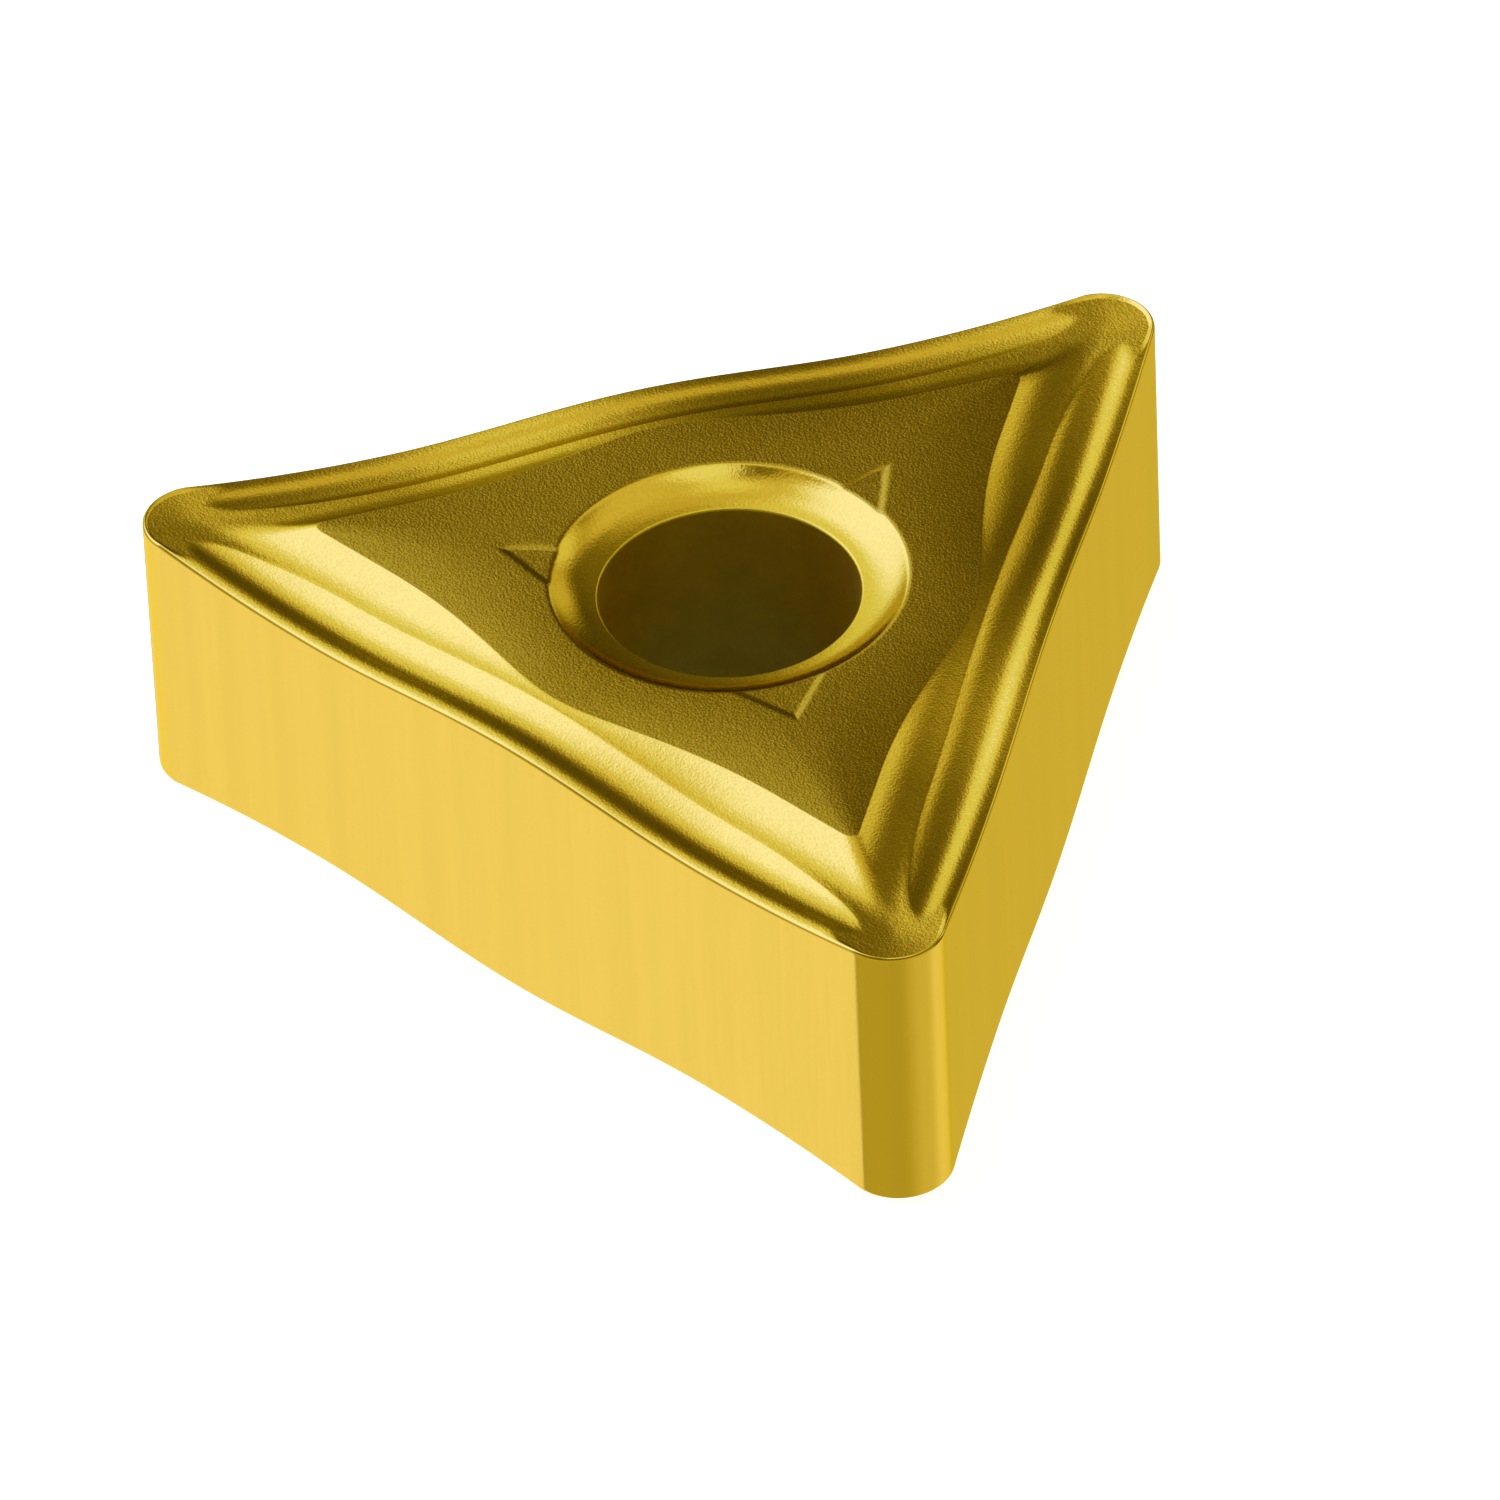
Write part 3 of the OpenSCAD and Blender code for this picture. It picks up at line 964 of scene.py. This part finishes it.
@dataclass(frozen=True)
class Tent:
    """A round cloth tent that gives the metal its surroundings; the camera doesn't see it.

    Its radius is in metres and its angles in degrees. Each window is laid over the ones before.
    """

    radius: float = 1.2
    cell: float = 3.0
    last_elevation: float = 87.0
    horizon: float = 10.0
    dim_green: float = 0.84
    dim_blue: float = 0.1
    more_green: float = 0.2
    more_blue: float = 1.1
    green_levels: tuple[float, float] = (0.55, 0.9)
    blue_levels: tuple[float, float] = (0.75, 1.1)
    level: float = 0.17
    opening: Window = Window((93.0, 174.0), (-81.0, -27.0), 1.0, 0.1)
    windows: tuple[Window, ...] = (
        Window((138.0, 345.0), (-32.0, 6.0), 0.55, 8.0),
        Window((-75.0, 29.0), (42.0, 80.0), 0.66, 8.0),
        Window((36.0, 71.0), (-40.0, 36.0), 0.09, 7.0),
        Window((-20.0, 79.0), (-45.0, 6.0), 0.06, 4.0),
        Window((8.0, 64.0), (-26.0, -2.0), 0.42, 5.0),
        Window((6.0, 31.0), (9.0, 39.0), 0.76, 6.0),
        Window((32.0, 50.0), (2.0, 27.0), 0.64, 5.0),
        Window((-125.0, -50.0), (56.0, 110.0), 0.88, 8.0),
        Window((20.0, 200.0), (55.0, 110.0), 0.60, 9.0),
        Window((-180.0, 180.0), (79.0, 110.0), 0.82, 8.0),
        Window((76.0, 168.0), (41.0, 66.0), 0.80, 10.0),
        Window((80.6, 168.0), (9.0, 50.0), 0.80, 5.6),
        Window((102.0, 172.0), (13.0, 66.0), 1.12, 11.0),
        Window((84.0, 130.0), (-34.0, 6.0), 0.62, 10.0),
        Window((174.0, 400.0), (-80.0, -22.0), 0.50, 10.0),
        Window((288.0, 400.0), (-80.0, -22.0), 0.70, 24.0),
        Window((340.0, 385.0), (-80.0, -26.0), 0.90, 14.0),
        Window((26.0, 92.0), (-80.0, -27.0), 0.66, 12.0),
    )

    def glow(self, azimuth: np.ndarray, elevation: np.ndarray) -> np.ndarray:
        """Colour that the tent sheds from each direction.

        Formula: a dim level, changed to each window's own level by its share in turn. The dimmer
        a place is, the warmer its colour: green rises from its dim share to 1 along with the
        level, and blue with the level's cube. Above the horizon bright places get more of both.

        Args:
            azimuth: Azimuths from +X, in degrees.
            elevation: Elevations, in degrees.

        Returns:
            Colours as (..., rgba).
        """
        level = np.full_like(azimuth, self.level)
        for window in self.windows:
            level += (window.level - level) * window.share(azimuth, elevation)
        high = smooth_step(-self.horizon, self.horizon, elevation)
        green = self.dim_green + (1.0 - self.dim_green) * level
        green += high * self.more_green * smooth_step(*self.green_levels, level)
        blue = self.dim_blue + (1.0 - self.dim_blue) * level**3
        blue += high * self.more_blue * smooth_step(*self.blue_levels, level)
        return np.stack([level, level * green, level * blue, np.ones_like(level)], axis=-1)

    def pitch(self) -> bpy.types.Object:
        """Make the tent.

        Formula: a grid of azimuth by elevation on a sphere, without the cells of the opening,
        through which the white background is seen.

        Returns:
            The tent's object.
        """
        middle = self.cell / 2.0
        azimuth, elevation = np.meshgrid(
            np.arange(0.0, 360.0, self.cell),
            np.arange(-self.last_elevation, self.last_elevation + middle, self.cell))
        a, e = np.radians(azimuth), np.radians(elevation)
        points = np.stack([np.cos(e) * np.cos(a), np.cos(e) * np.sin(a), np.sin(e)], axis=-1)
        rings, columns = a.shape
        ring, column = np.meshgrid(np.arange(rings - 1), np.arange(columns), indexing="ij")
        following = (column + 1) % columns
        quads = np.stack([ring * columns + column, (ring + 1) * columns + column,
                          (ring + 1) * columns + following, ring * columns + following], axis=-1)
        closed = self.opening.share(azimuth[:-1] + middle, elevation[:-1] + middle) < 0.5
        ends = [tuple(range((rings - 1) * columns, rings * columns)),
                tuple(range(columns))[::-1]]
        mesh = bpy.data.meshes.new("tent")
        mesh.from_pydata((points * self.radius).reshape(-1, 3).tolist(), [],
                         quads[closed].tolist() + ends)
        colours = mesh.attributes.new("glow", "FLOAT_COLOR", "POINT")
        colours.data.foreach_set("color", self.glow(azimuth, elevation).ravel())
        tent = bpy.data.objects.new("tent", mesh)
        bpy.context.collection.objects.link(tent)
        tent.data.materials.append(self.cloth())
        tent.visible_camera = False
        tent.visible_shadow = False
        return tent

    def cloth(self) -> bpy.types.Material:
        """Make the cloth that sheds the tent's own colours.

        Returns:
            The material.
        """
        cloth = bpy.data.materials.new("tent_cloth")
        cloth.use_nodes = True
        cloth.cycles.emission_sampling = "NONE"
        tree = cloth.node_tree
        tree.nodes.remove(tree.nodes["Principled BSDF"])
        colours = tree.nodes.new("ShaderNodeAttribute")
        colours.attribute_name = "glow"
        glow = tree.nodes.new("ShaderNodeEmission")
        tree.links.new(colours.outputs["Color"], glow.inputs["Color"])
        tree.links.new(glow.outputs[0], tree.nodes["Material Output"].inputs["Surface"])
        return cloth


@dataclass(frozen=True)
class Studio:
    """Plain pale floor, round tent, soft lamps and white background, in metres or as named."""

    floor_z_mm: float = -2.41
    floor_half: float = 1.5
    # The patch is painted shadow: a dim sheet for the shaded floor right under the insert.
    patch_half_mm: float = 3.0
    patch_drop_mm: float = 0.01
    floor_glow: float = 0.89
    shadow_patch_glow: float = 0.05
    floor_tone: tuple[float, float, float] = (0.66, 0.68, 0.78)
    tent: Tent = Tent()
    lamps: tuple[Lamp, ...] = (
        Lamp("key_left_back", azimuth=137.0, elevation=33.0, width=0.075, height=0.075, glow=1.0),
        Lamp("overhead", azimuth=110.0, elevation=80.0, width=0.039, height=0.045, glow=0.72),
    )

    def plain_rays(self, tree: bpy.types.NodeTree) -> bpy.types.NodeSocket:
        """Share that is 1 for the rays that see the plain background, else 0.

        Args:
            tree: Node tree to add to.

        Returns:
            Socket with the share.
        """
        path = tree.nodes.new("ShaderNodeLightPath")
        total: bpy.types.NodeSocket = path.outputs[Ray.CAMERA.value]
        for kind in (Ray.GLOSSY, Ray.TRANSMISSION):
            most = tree.nodes.new("ShaderNodeMath")
            most.operation = "MAXIMUM"
            tree.links.new(total, most.inputs[0])
            tree.links.new(path.outputs[kind.value], most.inputs[1])
            total = most.outputs[0]
        return total

    def board(self, name: str, level: float) -> bpy.types.Material:
        """Pale matt board with a plain white glow for plain rays.

        Args:
            name: Name of the material.
            level: Strength of the glow.

        Returns:
            The material.
        """
        board = bpy.data.materials.new(name)
        board.use_nodes = True
        board.cycles.emission_sampling = "NONE"
        tree = board.node_tree
        tree.nodes.remove(tree.nodes["Principled BSDF"])
        matt = tree.nodes.new("ShaderNodeBsdfDiffuse")
        matt.inputs["Color"].default_value = (*self.floor_tone, 1.0)
        glow = tree.nodes.new("ShaderNodeEmission")
        strength = tree.nodes.new("ShaderNodeMath")
        strength.operation = "MULTIPLY"
        strength.inputs[1].default_value = level
        tree.links.new(self.plain_rays(tree), strength.inputs[0])
        tree.links.new(strength.outputs[0], glow.inputs["Strength"])
        both = tree.nodes.new("ShaderNodeAddShader")
        tree.links.new(matt.outputs[0], both.inputs[0])
        tree.links.new(glow.outputs[0], both.inputs[1])
        tree.links.new(both.outputs[0], tree.nodes["Material Output"].inputs["Surface"])
        return board

    def sheet(self, name: str, half: float, z: float,
              board: bpy.types.Material) -> bpy.types.Object:
        """Lay one square board.

        Args:
            name: Name of the object.
            half: Half its side, in metres.
            z: Its height, in metres.
            board: Its material.

        Returns:
            The board's object.
        """
        corners = np.array([[-1.0, -1.0, 0.0], [1.0, -1.0, 0.0], [1.0, 1.0, 0.0], [-1.0, 1.0, 0.0]])
        points = corners * half + np.array([0.0, 0.0, z])
        mesh = bpy.data.meshes.new(name)
        mesh.from_pydata(points.tolist(), [], [(0, 1, 2, 3)])
        mesh.materials.append(board)
        sheet = bpy.data.objects.new(name, mesh)
        bpy.context.collection.objects.link(sheet)
        return sheet

    def floor(self) -> None:
        """Lay the floor, and the dim patch of painted shadow right under the insert.

        The metal sees the white background and the tent in place of the floor, and the patch, a dim
        sheet that paints the insert's shadow on the floor, closes the bore from below.
        """
        pale = self.board("pale_board", self.floor_glow)
        floor = self.sheet("floor", self.floor_half, self.floor_z_mm * MM, pale)
        floor.visible_glossy = False
        # Dim board of the patch: painted shadow under the insert.
        covered = self.board("painted_shadow_board", self.shadow_patch_glow)
        patch_z = (self.floor_z_mm - self.patch_drop_mm) * MM
        self.sheet("painted_shadow_patch", self.patch_half_mm * MM, patch_z, covered)

    def background(self) -> None:
        """Make the world white for plain rays and dark for all others."""
        world = bpy.data.worlds.new("background")
        bpy.context.scene.world = world
        world.use_nodes = True
        tree = world.node_tree
        tree.links.new(self.plain_rays(tree), tree.nodes["Background"].inputs["Strength"])
        tree.nodes["Background"].inputs["Color"].default_value = (1.0, 1.0, 1.0, 1.0)

    def light(self) -> None:
        """Set up the whole studio."""
        self.floor()
        self.tent.pitch()
        self.background()
        for lamp in self.lamps:
            lamp.hang()
        bpy.context.scene.view_settings.view_transform = "Standard"


def gold_finishes() -> dict[Zone, GoldFinish]:
    """The finishes of the coated body.

    Returns:
        A finish for each zone.
    """
    return {
        Zone.GROUND: GoldFinish(
            "ground_gold", tone=(0.90, 0.62, 0.115), dark_tone=(0.87, 0.60, 0.108),
            roughness=(0.14, 0.20), grain=Grain(0.05, 0.0004, stretch_z=30.0), mottle_mm=0.6),
        Zone.PRESSED: GoldFinish(
            "pressed_gold", tone=(0.96, 0.645, 0.12), dark_tone=(0.84, 0.56, 0.095),
            roughness=(0.15, 0.20), grain=Grain(0.038, 0.0040), mottle_mm=0.35,
            coarse=Grain(0.16, 0.0016), speckle=0.85, edge_tint=(0.66, 0.68, 0.36)),
        # The seat's tones are about half the pressed ones. This is painted shade for the
        # micro-shadowing of its rough pressed face; only its coarser grain is its own.
        Zone.SEAT: GoldFinish(
            "seat_gold_painted_shade", tone=(0.66, 0.428, 0.072), dark_tone=(0.48, 0.308, 0.048),
            roughness=(0.16, 0.21), grain=Grain(0.038, 0.0050), mottle_mm=0.35,
            coarse=Grain(0.16, 0.0016), speckle=0.85),
        Zone.DISH: GoldFinish(
            "dish_gold", tone=(0.92, 0.62, 0.115), dark_tone=(0.86, 0.575, 0.10),
            roughness=(0.11, 0.16), grain=Grain(0.044, 0.0026), mottle_mm=0.35,
            coarse=Grain(0.16, 0.0012), speckle=0.85, edge_tint=(0.48, 0.50, 0.30)),
        Zone.BORE: GoldFinish(
            "bore_gold", tone=(0.94, 0.72, 0.075), dark_tone=(0.88, 0.67, 0.065),
            roughness=(0.38, 0.46), grain=Grain(0.05, 0.004), mottle_mm=0.6),
    }


def main() -> None:
    """Build the insert and its studio."""
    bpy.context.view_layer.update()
    outline = Outline()
    body = InsertBody(outline, PressedFace(outline), Hole(outline), gold_finishes())
    piece = body.build()
    body.dress(piece)
    log.info("insert_body: %d faces dressed", len(piece.data.polygons))
    Camera().place()
    Studio().light()
    log.info("studio lit")


if __name__ == "__main__":
    logging.basicConfig(level=logging.INFO)
    main()
